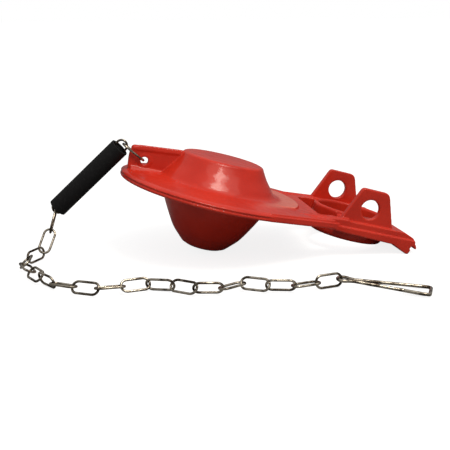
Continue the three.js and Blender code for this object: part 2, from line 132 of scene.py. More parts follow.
def settle(obj: Object) -> None:
    """Replace an object's mesh by its modified one and remove the modifiers.

    Args:
        obj: The object with live modifiers.
    """
    graph = bpy.context.evaluated_depsgraph_get()
    made = bpy.data.meshes.new_from_object(obj.evaluated_get(graph))
    old = obj.data
    obj.modifiers.clear()
    obj.data = made
    bpy.data.meshes.remove(old)


def combine(obj: Object, other: Object, op: Op) -> Object:
    """Join, cut or intersect two closed meshes, using the second one up.

    Args:
        obj: The mesh that stays.
        other: The mesh that is used up.
        op: What to do with them.

    Returns:
        The first object.
    """
    step = obj.modifiers.new("step", "BOOLEAN")
    step.operation = op.value
    step.solver = "MANIFOLD"
    step.object = other
    settle(obj)
    bpy.data.objects.remove(other)
    return obj


def arc(centre: Point, radius: float, start: float, end: float, steps: int) -> list[Point]:
    """Points along an arc.

    Args:
        centre: The arc's centre.
        radius: Its radius.
        start: The first angle in degrees.
        end: The last angle in degrees.
        steps: How many pieces it has.

    Returns:
        The points, ends included.
    """
    out = []
    for i in range(steps + 1):
        angle = math.radians(start + (end - start) * i / steps)
        out.append((centre[0] + radius * math.cos(angle), centre[1] + radius * math.sin(angle)))
    return out


def spline(points: list[Point], steps: int = 8) -> list[Point]:
    """A smooth run through points.

    Args:
        points: The points to pass through.
        steps: Pieces between two of them.

    Returns:
        The finer run, first and last point included.
    """
    p = [np.array(q, float) for q in points]
    p = [2 * p[0] - p[1], *p, 2 * p[-1] - p[-2]]
    out = []
    for a, b, c, d in zip(p, p[1:], p[2:], p[3:]):
        for i in range(steps):
            t = i / steps
            q = 0.5 * (2 * b + (c - a) * t + (2 * a - 5 * b + 4 * c - d) * t**2
                       + (3 * b - a - 3 * c + d) * t**3)
            out.append((float(q[0]), float(q[1])))
    return [*out, points[-1]]


def rounded(points: list[Point], radius: float, steps: int = 5) -> list[Point]:
    """Round the corners of a closed outline.

    Args:
        points: The outline's corners.
        radius: The radius asked for, less on short sides.
        steps: Pieces in each corner.

    Returns:
        The rounded outline.
    """
    out = []
    count = len(points)
    for i in range(count):
        before, here, after = (np.array(points[j % count], float) for j in (i - 1, i, i + 1))
        back = before - here
        on = after - here
        reach = min(radius, 0.45 * np.linalg.norm(back), 0.45 * np.linalg.norm(on))
        start = here + back / np.linalg.norm(back) * reach
        end = here + on / np.linalg.norm(on) * reach
        for k in range(steps + 1):
            t = k / steps
            q = start * (1 - t) ** 2 + here * 2 * t * (1 - t) + end * t**2
            out.append((float(q[0]), float(q[1])))
    return out


def lathe(name: str, profile: list[Point], segments: int, x: float = 0.0) -> Object:
    """Turn a profile of radius and height about an upright axis.

    Args:
        name: The object's name.
        profile: Radius and height in millimetres, a closed run or one that ends on the axis.
        segments: Steps round the axis.
        x: Where the axis stands.

    Returns:
        The turned object.
    """
    verts = []
    faces = []
    count = len(profile)
    for s in range(segments):
        turn = 2 * math.pi * s / segments
        for r, z in profile:
            verts.append(((x + r * math.cos(turn)) * MM, r * math.sin(turn) * MM, z * MM))
    for s in range(segments):
        here = s * count
        there = ((s + 1) % segments) * count
        for i in range(count - 1):
            if profile[i][0] < 1e-6:
                if profile[i + 1][0] > 1e-6:
                    faces.append((here + i, there + i + 1, here + i + 1))
            elif profile[i + 1][0] < 1e-6:
                faces.append((here + i, there + i, here + i + 1))
            else:
                faces.append((here + i, there + i, there + i + 1, here + i + 1))
    return new_object(name, verts, faces)


def prism(name: str, outline: list[Point], low: float, high: float, along: str) -> Object:
    """Raise an outline between two planes.

    Args:
        name: The object's name.
        outline: Corners in millimetres, in the two other directions.
        low: Where it starts along its own direction.
        high: Where it ends.
        along: Its direction: X, Y or Z.

    Returns:
        The closed object.
    """
    verts = []
    for depth in (low, high):
        for corner in outline:
            place = list(corner)
            place.insert("XYZ".index(along), depth)
            verts.append(tuple(c * MM for c in place))
    count = len(outline)
    faces = [tuple(range(count)), tuple(range(2 * count - 1, count - 1, -1))]
    for i in range(count):
        j = (i + 1) % count
        faces.append((i, j, count + j, count + i))
    return new_object(name, verts, faces)


def rod(name: str, start: Triple, end: Triple, radius: float, sides: int) -> Object:
    """A round bar with flat ends.

    Args:
        name: The object's name.
        start: One end in millimetres.
        end: The other end.
        radius: The bar's radius.
        sides: Faces round it.

    Returns:
        The closed object.
    """
    return sweep(name, [Vector(start), Vector(end)], [radius, radius], sides)


def sweep(name: str, path: list[Vector], radii: list[float], sides: int) -> Object:
    """A round section carried along an open path, with closed ends.

    Args:
        name: The object's name.
        path: Points in millimetres.
        radii: The radius at each point.
        sides: Faces round the section.

    Returns:
        The closed object.
    """
    tangents = []
    for i in range(len(path)):
        before = path[max(i - 1, 0)]
        after = path[min(i + 1, len(path) - 1)]
        tangents.append((after - before).normalized())
    side = tangents[0].orthogonal().normalized()
    verts = []
    faces = []
    for i, (point, tangent) in enumerate(zip(path, tangents)):
        if i:
            side = (side - tangent * side.dot(tangent)).normalized()
        over = tangent.cross(side)
        for k in range(sides):
            turn = 2 * math.pi * k / sides
            offset = side * math.cos(turn) + over * math.sin(turn)
            verts.append((point + offset * radii[i]) * MM)
    for i in range(len(path) - 1):
        for k in range(sides):
            n = (k + 1) % sides
            a = i * sides
            b = a + sides
            faces.append((a + k, a + n, b + n, b + k))
    last = (len(path) - 1) * sides
    faces.append(tuple(range(sides)))
    faces.append(tuple(last + k for k in range(sides)))
    return new_object(name, verts, faces)


def smooth_faces(obj: Object, angle: float = 180.0) -> None:
    """Shade an object's faces smooth, but for edges sharper than an angle.

    Args:
        obj: The object.
        angle: The sharpest smooth edge in degrees.
    """
    obj.data.shade_smooth()
    if angle < 180:
        obj.data.set_sharp_from_angle(angle=math.radians(angle))


def dress(obj: Object, material: Material, body: str,
          nodes: list[str]) -> None:
    """Give a piece its finish, the body it rides on and the nodes it stands for.

    Args:
        obj: The piece.
        material: Its finish.
        body: The body's name.
        nodes: The frame's nodes that it replaces.
    """
    obj.data.materials.clear()
    obj.data.materials.append(material)
    for face in obj.data.polygons:
        face.material_index = 0
    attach(obj, body)
    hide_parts(*nodes)
    log.info("%s: %d faces on %s", obj.name, len(obj.data.polygons), body)


# Finishes


class Graph:
    """A material's node tree, with short ways to add nodes and join them."""

    def __init__(self, name: str) -> None:
        """Start an empty material.

        Args:
            name: The material's name.
        """
        self.material = bpy.data.materials.new(name)
        self.material.use_nodes = True
        self.tree = self.material.node_tree
        self.tree.nodes.clear()
        self.shader = self.add("ShaderNodeBsdfPrincipled")
        out = self.add("ShaderNodeOutputMaterial")
        self.join(self.shader.outputs["BSDF"], out.inputs["Surface"])

    def add(self, kind: str, **settings) -> Node:
        """Add a node.

        Args:
            kind: The node's type.
            **settings: Properties to set on it.

        Returns:
            The node.
        """
        node = self.tree.nodes.new(kind)
        for key, value in settings.items():
            setattr(node, key, value)
        return node

    def join(self, start: NodeSocket, end: NodeSocket) -> None:
        """Join two sockets.

        Args:
            start: An output.
            end: An input.
        """
        self.tree.links.new(start, end)

    def place(self, turn: Matrix | None = None) -> NodeSocket:
        """The point on the surface, in metres, turned into a piece's own directions.

        Args:
            turn: The piece's turn and shift, undone here, or none.

        Returns:
            The vector socket.
        """
        coord = self.add("ShaderNodeTexCoord")
        if turn is None:
            return coord.outputs["Object"]
        back = turn.inverted()
        mapping = self.add("ShaderNodeMapping", vector_type="POINT")
        mapping.inputs["Rotation"].default_value = back.to_euler("XYZ")
        mapping.inputs["Location"].default_value = back.to_translation()
        self.join(coord.outputs["Object"], mapping.inputs["Vector"])
        return mapping.outputs["Vector"]

    def noise(self, at: NodeSocket, scale: float, detail: float = 3.0) -> NodeSocket:
        """A cloudy value from 0 to 1.

        Args:
            at: The point it is read at.
            scale: How many features to a metre.
            detail: How many finer layers.

        Returns:
            The value socket.
        """
        node = self.add("ShaderNodeTexNoise")
        node.inputs["Scale"].default_value = scale
        node.inputs["Detail"].default_value = detail
        self.join(at, node.inputs["Vector"])
        return node.outputs["Fac"]

    def ramp(self, value: NodeSocket, low: float, high: float, start: float,
             end: float) -> NodeSocket:
        """Spread a value between two others.

        Args:
            value: The value socket.
            low: Where the change starts.
            high: Where it ends.
            start: The result at low.
            end: The result at high.

        Returns:
            The value socket.
        """
        node = self.add("ShaderNodeMapRange", interpolation_type="SMOOTHSTEP")
        for key, number in (("From Min", low), ("From Max", high), ("To Min", start), ("To Max", end)):
            node.inputs[key].default_value = number
        self.join(value, node.inputs["Value"])
        return node.outputs["Result"]

    def blend(self, fac: NodeSocket, first, second) -> NodeSocket:
        """Mix two colours.

        Args:
            fac: How much of the second.
            first: A colour or a socket.
            second: A colour or a socket.

        Returns:
            The colour socket.
        """
        node = self.add("ShaderNodeMix", data_type="RGBA")
        self.join(fac, node.inputs[0])
        for end, value in ((node.inputs[6], first), (node.inputs[7], second)):
            if isinstance(value, NodeSocket):
                self.join(value, end)
            else:
                end.default_value = (*value, 1.0)
        return node.outputs[2]

    def bump(self, height: NodeSocket, depth: float, strength: float) -> None:
        """Raise the surface by a value, over any bump set before.

        Args:
            height: The value socket.
            depth: How high 1 stands, in metres.
            strength: How much of it shows.
        """
        node = self.add("ShaderNodeBump")
        node.inputs["Strength"].default_value = strength
        node.inputs["Distance"].default_value = depth
        self.join(height, node.inputs["Height"])
        end = self.shader.inputs["Normal"]
        if end.links:
            self.join(end.links[0].from_socket, node.inputs["Normal"])
        self.join(node.outputs["Normal"], end)


@dataclass(frozen=True)
class RubberFinish:
    """Satin red moulded rubber, paler on its convex edges (partly bloom, partly a painted highlight), with
    a painted sheen on the pad's flat top.
    """

    base: Triple = (0.56, 0.027, 0.012)
    deep: Triple = (0.45, 0.018, 0.008)
    # paler colour of the convex edges: part rubber bloom, part painted edge highlight
    bloom_and_edge_highlight: Triple = (0.70, 0.12, 0.075)
    # painted sheen on the pad's flat top, standing in for its grazing reflection
    painted_pad_sheen: Triple = (0.72, 0.24, 0.18)
    ior: float = 1.42
    specular: float = 0.12
    coat: float = 0.40
    coat_roughness: float = 0.13

    @staticmethod
    def pad_sheen_mask(g: Graph, at: NodeSocket) -> NodeSocket:
        """Where the flat top of the pad is, on which a pale sheen is painted.

        Args:
            g: The material's graph.
            at: The point in the moulding's own frame.

        Returns:
            A value from 0 to 1.
        """
        split = g.add("ShaderNodeSeparateXYZ")
        g.join(at, split.inputs[0])
        level = g.add("ShaderNodeVectorMath", operation="MULTIPLY")
        g.join(at, level.inputs[0])
        level.inputs[1].default_value = (1, 1, 0)
        reach = g.add("ShaderNodeVectorMath", operation="LENGTH")
        g.join(level.outputs[0], reach.inputs[0])
        radius = reach.outputs["Value"]
        found = g.ramp(split.outputs["X"], 0.008, 0.030, 0.0, 0.55)
        bounds = ((split.outputs["Z"], 0.0034, 0.0038), (radius, 0.0262, 0.0285),
                  (radius, 0.0352, 0.0346))
        for value, low, high in bounds:
            product = g.add("ShaderNodeMath", operation="MULTIPLY")
            g.join(found, product.inputs[0])
            g.join(g.ramp(value, low, high, 0.0, 1.0), product.inputs[1])
            found = product.outputs[0]
        return found

    def build(self, turn: Matrix) -> Material:
        """Make the material.

        Args:
            turn: The moulding's turn and shift.

        Returns:
            The material.
        """
        g = Graph("red_rubber")
        at = g.place(turn)
        clouds = g.ramp(g.noise(at, 55.0), 0.35, 0.68, 0.0, 0.75)
        colour = g.blend(clouds, self.base, self.deep)
        shape = g.add("ShaderNodeNewGeometry")
        # convex edges lightened by Pointiness: part bloom, part painted highlight
        edges = g.ramp(shape.outputs["Pointiness"], 0.515, 0.60, 0.0, 0.45)
        colour = g.blend(edges, colour, self.bloom_and_edge_highlight)
        # the pad's flat top takes the painted sheen colour
        g.join(g.blend(self.pad_sheen_mask(g, at), colour, self.painted_pad_sheen), g.shader.inputs["Base Color"])
        scuffs = g.noise(at, 260.0, 5.0)
        g.join(g.ramp(scuffs, 0.35, 0.7, 0.36, 0.50), g.shader.inputs["Roughness"])
        g.shader.inputs["IOR"].default_value = self.ior
        g.shader.inputs["Specular IOR Level"].default_value = self.specular
        g.shader.inputs["Coat Weight"].default_value = self.coat
        g.shader.inputs["Coat Roughness"].default_value = self.coat_roughness
        g.bump(g.noise(at, 2600.0, 2.0), 0.00002, 0.12)
        g.bump(g.noise(at, 90.0, 1.0), 0.0003, 0.05)
        return g.material


@dataclass(frozen=True)
class FoamFinish:
    """Black closed-cell foam, matt, with fine cells and a shallow unevenness."""

    base: Triple = (0.0075, 0.0075, 0.008)
    pale: Triple = (0.013, 0.013, 0.0135)

    def build(self) -> Material:
        """Make the material.

        Returns:
            The material.
        """
        g = Graph("black_foam")
        at = g.place()
        fleck = g.ramp(g.noise(at, 900.0, 4.0), 0.5, 0.75, 0.0, 1.0)
        g.join(g.blend(fleck, self.base, self.pale), g.shader.inputs["Base Color"])
        g.shader.inputs["Roughness"].default_value = 0.78
        g.shader.inputs["Specular IOR Level"].default_value = 0.16
        cells = g.add("ShaderNodeTexVoronoi")
        cells.inputs["Scale"].default_value = 2400.0
        g.join(at, cells.inputs["Vector"])
        g.bump(cells.outputs["Distance"], 0.00008, 0.25)
        g.bump(g.noise(at, 240.0, 3.0), 0.0003, 0.15)
        return g.material


@dataclass(frozen=True)
class WireFinish:
    """Nickel-plated wire, warm grey, with painted dark reflections in random patches and a fine grain."""

    bright: Triple = (0.42, 0.375, 0.305)
    # painted dark reflection, laid in random patches over the wire
    painted_dark_reflection: Triple = (0.07, 0.055, 0.04)

    def build(self) -> Material:
        """Make the material.

        Returns:
            The material.
        """
        g = Graph("plated_wire")
        at = g.place()
        # random patches of painted dark reflection
        dark_reflection_patches = g.ramp(g.noise(at, 300.0, 3.0), 0.42, 0.62, 0.0, 1.0)
        g.join(g.blend(dark_reflection_patches, self.bright, self.painted_dark_reflection), g.shader.inputs["Base Color"])
        g.shader.inputs["Metallic"].default_value = 1.0
        g.join(g.ramp(g.noise(at, 700.0, 3.0), 0.35, 0.7, 0.17, 0.36), g.shader.inputs["Roughness"])
        g.bump(g.noise(at, 3000.0, 3.0), 0.00003, 0.3)
        return g.material


# The rubber moulding


@dataclass(frozen=True)
class Moulding:
    """The flapper's sizes in millimetres and degrees, in its own frame: the seat plane is z = 0."""

    disc_radius: float = 41.0
    disc_top: float = 3.1
    rim_middle: float = 0.85
    groove: float = 0.85
    wall: float = 2.3
    dome_top: float = 16.8
    dome_base: float = 24.2
    dome_height: float = 15.6
    bulb_radius: float = 23.6
    bulb_depth: float = 23.0
    bulb_foot: float = 8.0
    foot_round: float = 0.6
    drain: float = 4.5
    fin_thickness: float = 2.4
    fin_front: float = -39.2
    fin_height: float = 13.6
    bead: float = 1.45
    eye: Point = (-32.5, 7.8)
    eye_radius: float = 1.6
    eye_collar: float = 1.2
    tail_half: float = 25.2
    tail_top: float = 4.1
    tail_step: float = 0.8
    tail_start: float = 30.0
    tail_end: float = 82.6
    lug_back: float = 3.0
    lug_depth: float = 4.6
    fairing_angle: float = 68.0
    window_start: float = 41.2
    pad_radius: float = 35.3
    pad_rise: float = 0.9
    window_half: float = 17.6
    window_neck: float = 12.5
    ring_x: float = 60.7
    ring_radius: float = 16.3
    pipe: float = 28.6
    ring_rise: float = 1.5
    skirt: float = 5.8
    ear_thickness: float = 2.6
    ear_spacing: float = 43.3
    ear_top: float = 18.6
    ear_top_width: float = 10.8
    ear_base_width: float = 22.6
    hinge: Point = (60.1, 10.2)
    hinge_bore: float = 8.2
    rib: float = 1.25
    grain: float = 0.3
    quick_grain: float = 0.8
    most_triangles: int = 185000

    def foot(self) -> Point:
        """The edge of the bulb's foot, on which the flapper lies.

        Returns:
            Its x and z.
        """
        return self.bulb_foot - self.foot_round, -self.bulb_depth

    def tilt(self) -> float:
        """How far the flapper tips, nose up, as it lies.

        Returns:
            The angle about +Y in radians.
        """
        x, z = self.foot()
        return math.atan2(-self.lug_depth - z, self.tail_end - self.lug_back - x)

    def turn(self) -> Matrix:
        """From the moulding's own frame to the row frame, in metres.

        Returns:
            The matrix.
        """
        x, z = self.foot()
        spin = Matrix.Rotation(self.tilt(), 4, "Y")
        foot = spin @ Vector((x, 0, z))
        nose = spin @ Vector((-self.disc_radius, 0, self.rim_middle))
        low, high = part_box("flapper")
        shift = Vector((low.x - nose.x * MM, (low.y + high.y) / 2, -foot.z * MM))
        return Matrix.Translation(shift) @ spin

    def disc_profile(self) -> list[Point]:
        """The turned section: bulb, rim with its groove, dome, and the hollow inside.

        Returns:
            Radius and height, a closed run.
        """
        r, b, d = self.disc_radius, self.bulb_radius, self.bulb_depth
        foot, base, top = self.bulb_foot, self.dome_base, self.disc_top
        in_groove = r - self.groove
        w, roof = self.wall, self.dome_height - self.wall
        bulb = spline([(foot + 1.6, 1.0 - d), (b * 0.49, -d * 0.87), (b * 0.63, -d * 0.71),
                       (b * 0.79, -d * 0.435), (b * 0.91, -d * 0.2), (b * 0.98, -d * 0.05), (b, 0)])
        rim = [(r - 1.4, -0.15), (r - 0.6, -0.15), (r - 0.1, 0.2), (r, 0.7), (r - 0.2, 1.0),
               (in_groove, 1.15), (in_groove, 1.45), (r - 0.15, 1.6), (r, 1.85), (r - 0.15, 2.1),
               (r - 1.0, 2.65)]
        flank = spline([(r - 2.2, top - 0.05), (r - 6, top + 0.2), (base + 6, top + 0.7),
                        (base + 1.6, top + 1.2), (base, top + 2.0), (base - 1.7, top + 4.2),
                        ((base + self.dome_top) / 2 - 0.6, top + 7.4),
                        (self.dome_top + 1.1, self.dome_height - 1.9),
                        (self.dome_top + 0.3, self.dome_height - 0.55),
                        (self.dome_top - 0.9, self.dome_height)])
        inner = [(0, roof), (self.dome_top - w, roof), (self.dome_top - 0.9, roof - 1.2),
                 (base - 3.6, top + 1.2), (b - w, 0), (b * 0.91 - w, -d * 0.2), (b * 0.79 - w, -d * 0.42),
                 (b * 0.63 - w, -d * 0.68), (b * 0.49 - w, -d * 0.81), (self.drain, w - d)]
        lip = [(self.drain, -d), self.foot()]
        return [*lip, *bulb, *rim, *flank, (0, self.dome_height), *inner, lip[0]]

    def fin(self) -> Object:
        """The upright fin with its foot, top bead and collar.

        Returns:
            The closed fin.
        """
        front, top, half = self.fin_front, self.fin_height, self.fin_thickness / 2
        inside = 3 - self.dome_top
        roof = self.dome_height - 0.4
        outline = rounded([(front + 0.6, 1.9), (inside, 1.9), (inside, roof),
                           (-self.dome_top - 1.5, roof), (front + 2.6, top), (front + 0.1, top - 2.2),
                           (front, top - 5.0)], 2.0)
        web = prism("fin", outline, -half, half, "Y")
        start = Vector((front + 1.7, 0, top - self.bead - 0.1))
        end = Vector((1.5 - self.dome_top, 0, self.dome_height - self.bead - 0.2))
        line = (end - start).normalized()
        path = []
        radii = []
        for k in range(9):
            turn = math.pi / 2 * k / 8
            path.append(start - line * self.bead * math.cos(turn) * 0.98)
            radii.append(max(self.bead * math.sin(turn), 0.02))
        path += [start.lerp(end, t) for t in (0.25, 0.5, 0.75, 1.0)]
        radii += [self.bead] * 4
        combine(web, sweep("bead", path, radii, 32), Op.ADD)
        x, z = self.eye
        collar = rod("collar", (x, -half - 0.2, z), (x, half + 0.2, z),
                     self.eye_radius + self.eye_collar, SIDES_SMALL)
        combine(web, collar, Op.ADD)
        wedge = [(-3.2, 2.0), (3.2, 2.0), (3.2, self.disc_top), (1.2, self.disc_top + 2.1),
                 (-1.2, self.disc_top + 2.1), (-3.2, self.disc_top)]
        return combine(web, prism("foot", wedge, front + 1.4, inside, "X"), Op.ADD)

    def pad(self) -> Object:
        """The raised pad on the disc, between the dome and the tail.

        Returns:
            The closed pad.
        """
        base, radius, top = self.dome_base, self.pad_radius, self.disc_top
        outline = [(base / 3, -base), (radius * 0.51, 3.4 - base), (radius * 0.71, 4.6 - base),
                   *arc((0, 0), radius, -29, 29, 24), (radius * 0.71, base - 4.6),
                   (radius * 0.51, base - 3.4), (base / 3, base)]
        pad = prism("pad", outline, top - 0.6, top + self.pad_rise, "Z")
        return combine(pad, self.plug("core", base - 1.6), Op.CUT)

    @staticmethod
    def plug(name: str, radius: float) -> Object:
        """A round block about the disc's axis, higher and deeper than the tail.

        Args:
            name: The object's name.
            radius: Its radius in millimetres.

        Returns:
            The closed block.
        """
        far = PAST_TAIL
        return lathe(name, [(0, -far), (radius, -far), (radius, far), (0, far)], SIDES_WIDE)

    def fairing(self, side: int) -> Object:
        """The straight web that fairs the disc's edge into an arm.

        Args:
            side: 1 or -1 along y.

        Returns:
            The closed web, with the rim's groove running along its edge.
        """
        turn = math.radians(self.fairing_angle)

        def layer(inset: float, low: float, high: float) -> Object:
            radius = self.disc_radius - inset
            half = self.tail_half - max(inset, self.tail_step if low > 0 else 0)
            meet = (radius - half * math.sin(turn)) / math.cos(turn)
            near = radius - 6
            outline = [(radius * math.cos(turn), radius * math.sin(turn)),
                       (near * math.cos(turn), near * math.sin(turn)),
                       (self.window_start - 8, half - 3), (meet, half - 3), (meet, half)]
            outline = [(x, side * y) for x, y in outline][::side]
            return prism("fairing", outline, low, high, "Z")

        web = layer(0.0, -0.15, 1.1)
        for inset, low, high in ((self.groove, 1.0, 1.6), (0.1, 1.5, 2.3), (0.9, 2.2, self.disc_top)):
            combine(web, layer(inset, low, high), Op.ADD)
        return web

    def ribs(self) -> list[Object]:
        """The rounded ribs along the outer edges of the arms.

        Returns:
            One rib for each side.
        """
        out = []
        for side in (-1, 1):
            y = side * (self.tail_half - self.tail_step - self.rib)
            start = (self.tail_start, y, self.disc_top - 1.1)
            end = (self.hinge[0] - 8.0, y, self.tail_top - 0.35)
            out.append(rod("rib", start, end, self.rib, 32))
        return out

    def tail_side(self) -> list[Point]:
        """The tail's side outline, with its lip, groove and lug.

        Returns:
            The outline in x and z.
        """
        start, end, top, near = self.tail_start, self.tail_end, self.tail_top, self.disc_top
        notch = arc((end - 0.5, -2.2), 1.3, 205, 60, 10)[1:-1]
        return [(start, 0), (38, 0), (52, -0.9), (end - 9.4, -1.7), (end - 4.4, -4.0),
                (end - self.lug_back, -self.lug_depth), (end - 2.0, -4.4), (end - 1.3, -2.6), *notch,
                (end + 0.7, -2.2), (end + 1.1, -1.3), (end + 0.6, -0.3), (end, 0.2), (end, 1.2),
                (end - 1.0, 2.4), (end - 5.5, top), (46, top), (38, near), (start, near)]

    def tail(self) -> Object:
        """The two arms and the cross plate, with the window cut out.

        Returns:
            The closed tail.
        """
        half, near, far = self.tail_half, self.tail_start, self.tail_end + 2
        side = prism("tail", self.tail_side(), -half - 1, half + 1, "Y")
        low = prism("low", [(near, -half), (far, -half), (far, half), (near, half)], -10, 1.5, "Z")
        inset = half - self.tail_step
        high = prism("high", [(near, -inset), (far, -inset), (far, inset), (near, inset)], 1.4,
                     PAST_TAIL, "Z")
        combine(side, combine(low, high, Op.ADD), Op.KEEP)
        front, wide, neck, soft = self.window_start, self.window_half, self.window_neck, 2.0
        back = self.ring_x - math.sqrt(self.ring_radius**2 - neck**2)
        outline = [*arc((front + soft, soft - wide), soft, 180, 270, 8), (back - 1.5, -wide),
                   (back, -neck), (self.ring_x - 2, 0), (back, neck), (back - 1.5, wide),
                   *arc((front + soft, wide - soft), soft, 90, 180, 8)]
        return combine(side, prism("window", outline, -PAST_TAIL, PAST_TAIL, "Z"), Op.CUT)

    def ring(self) -> Object:
        """The collar for the standpipe, with its bead and skirt.

        Returns:
            The closed ring.
        """
        inner, outer = self.pipe / 2, self.ring_radius
        top, low = self.tail_top + self.ring_rise, -self.skirt
        crown = arc(((inner + outer) / 2, top - 0.85), (outer - inner) / 2, 0, 180, 14)
        skirt = [(inner, low + 0.4), (inner + 0.4, low), (outer - 0.9, low), (outer - 0.2, low + 0.7),
                 (outer, low + 1.6)]
        return lathe("ring", [*skirt, *crown, skirt[0]], SIDES_PIPE, self.ring_x)

    def ear(self, side: int) -> Object:
        """An ear with its hinge hole.

        Args:
            side: 1 or -1 along y.

        Returns:
            The closed ear.
        """
        x, z = self.hinge
        base, top, high = self.ear_base_width / 2, self.ear_top_width / 2, self.ear_top
        outline = rounded([(x - base - 0.8, self.tail_top - 1.4), (x + base + 0.9, self.tail_top - 1.4),
                           (x + base + 0.3, self.tail_top + 0.4), (x + top + 1.5, high - 1.4),
                           (x + top + 0.2, high - 0.25), (x - top + 0.2, high),
                           (x - base, self.tail_top + 0.4)], 1.3)
        middle = side * self.ear_spacing / 2
        half = self.ear_thickness / 2
        plate = prism("ear", outline, middle - half, middle + half, "Y")
        past = self.ear_thickness + 0.4
        hole = rod("hole", (x, middle - past, z), (x, middle + past, z), self.hinge_bore / 2, SIDES_WIDE)
        return combine(plate, hole, Op.CUT)

    def shape(self) -> Object:
        """Join all the moulding's parts and soften their edges.

        Returns:
            The finished mesh in the row frame.
        """
        body = lathe("flapper_moulding", self.disc_profile(), SIDES_DISC)
        roof = self.dome_height - self.wall
        hollow = [(0, -2), (self.bulb_radius - self.wall, -2), (self.dome_base - 3.6, self.disc_top + 1.2),
                  (self.dome_top - 0.9, roof - 1.2), (self.dome_top - self.wall, roof), (0, roof)]
        combine(body, combine(self.fin(), lathe("hollow", hollow, SIDES_WIDE), Op.CUT), Op.ADD)
        combine(body, self.pad(), Op.ADD)
        clear = self.plug("clear", self.bulb_radius + 4)
        combine(body, combine(self.tail(), clear, Op.CUT), Op.ADD)
        for rib in self.ribs():
            combine(body, rib, Op.ADD)
        for side in (-1, 1):
            combine(body, self.fairing(side), Op.ADD)
        combine(body, self.ring(), Op.ADD)
        under, above = (self.ring_x, 0, -PAST_TAIL), (self.ring_x, 0, PAST_TAIL)
        combine(body, rod("pipe", under, above, self.pipe / 2, SIDES_PIPE), Op.CUT)
        for side in (-1, 1):
            combine(body, self.ear(side), Op.ADD)
        x, z = self.eye
        combine(body, rod("eye", (x, -6, z), (x, 6, z), self.eye_radius, SIDES_SMALL), Op.CUT)
        body.data.transform(self.turn())
        even = body.modifiers.new("even", "REMESH")
        even.mode = "VOXEL"
        even.voxel_size = self.grain * MM
        soften = body.modifiers.new("soften", "SMOOTH")
        soften.factor = 0.5
        soften.iterations = 3
        settle(body)
        count = sum(len(f.vertices) - 2 for f in body.data.polygons)
        if count > self.most_triangles:
            thin = body.modifiers.new("thin", "DECIMATE")
            thin.ratio = self.most_triangles / count
            settle(body)
        smooth_faces(body)
        return body

    def build(self) -> None:
        """Make, dress and place the moulding."""
        body = self.shape()
        dress(body, RubberFinish().build(self.turn()), Body.FLAPPER.value, ["flapper"])


# The chain


@dataclass(frozen=True)
class Lie:
    """Where a long piece lies: its middle, its length's and its width's direction."""

    middle: Vector
    along: Vector
    across: Vector

    @staticmethod
    def of(node: str) -> "Lie":
        """Read a node's lie from the spread of its points.

        Args:
            node: The frame's node.

        Returns:
            The lie, in metres.
        """
        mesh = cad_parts[node].data
        points = np.zeros(len(mesh.vertices) * 3)
        mesh.vertices.foreach_get("co", points)
        points = np.unique(points.reshape(-1, 3).round(7), axis=0)
        middle = points.mean(0)
        _, axes = np.linalg.eigh(np.cov((points - middle).T))
        return Lie(Vector(middle), Vector(axes[:, 2]).normalized(), Vector(axes[:, 1]).normalized())

    def matrix(self) -> Matrix:
        """The turn and shift that lay a piece drawn along x, wide in y.

        Returns:
            The matrix.
        """
        over = self.along.cross(self.across).normalized()
        turn = Matrix((self.along, self.across, over)).transposed().to_4x4()
        return Matrix.Translation(self.middle) @ turn


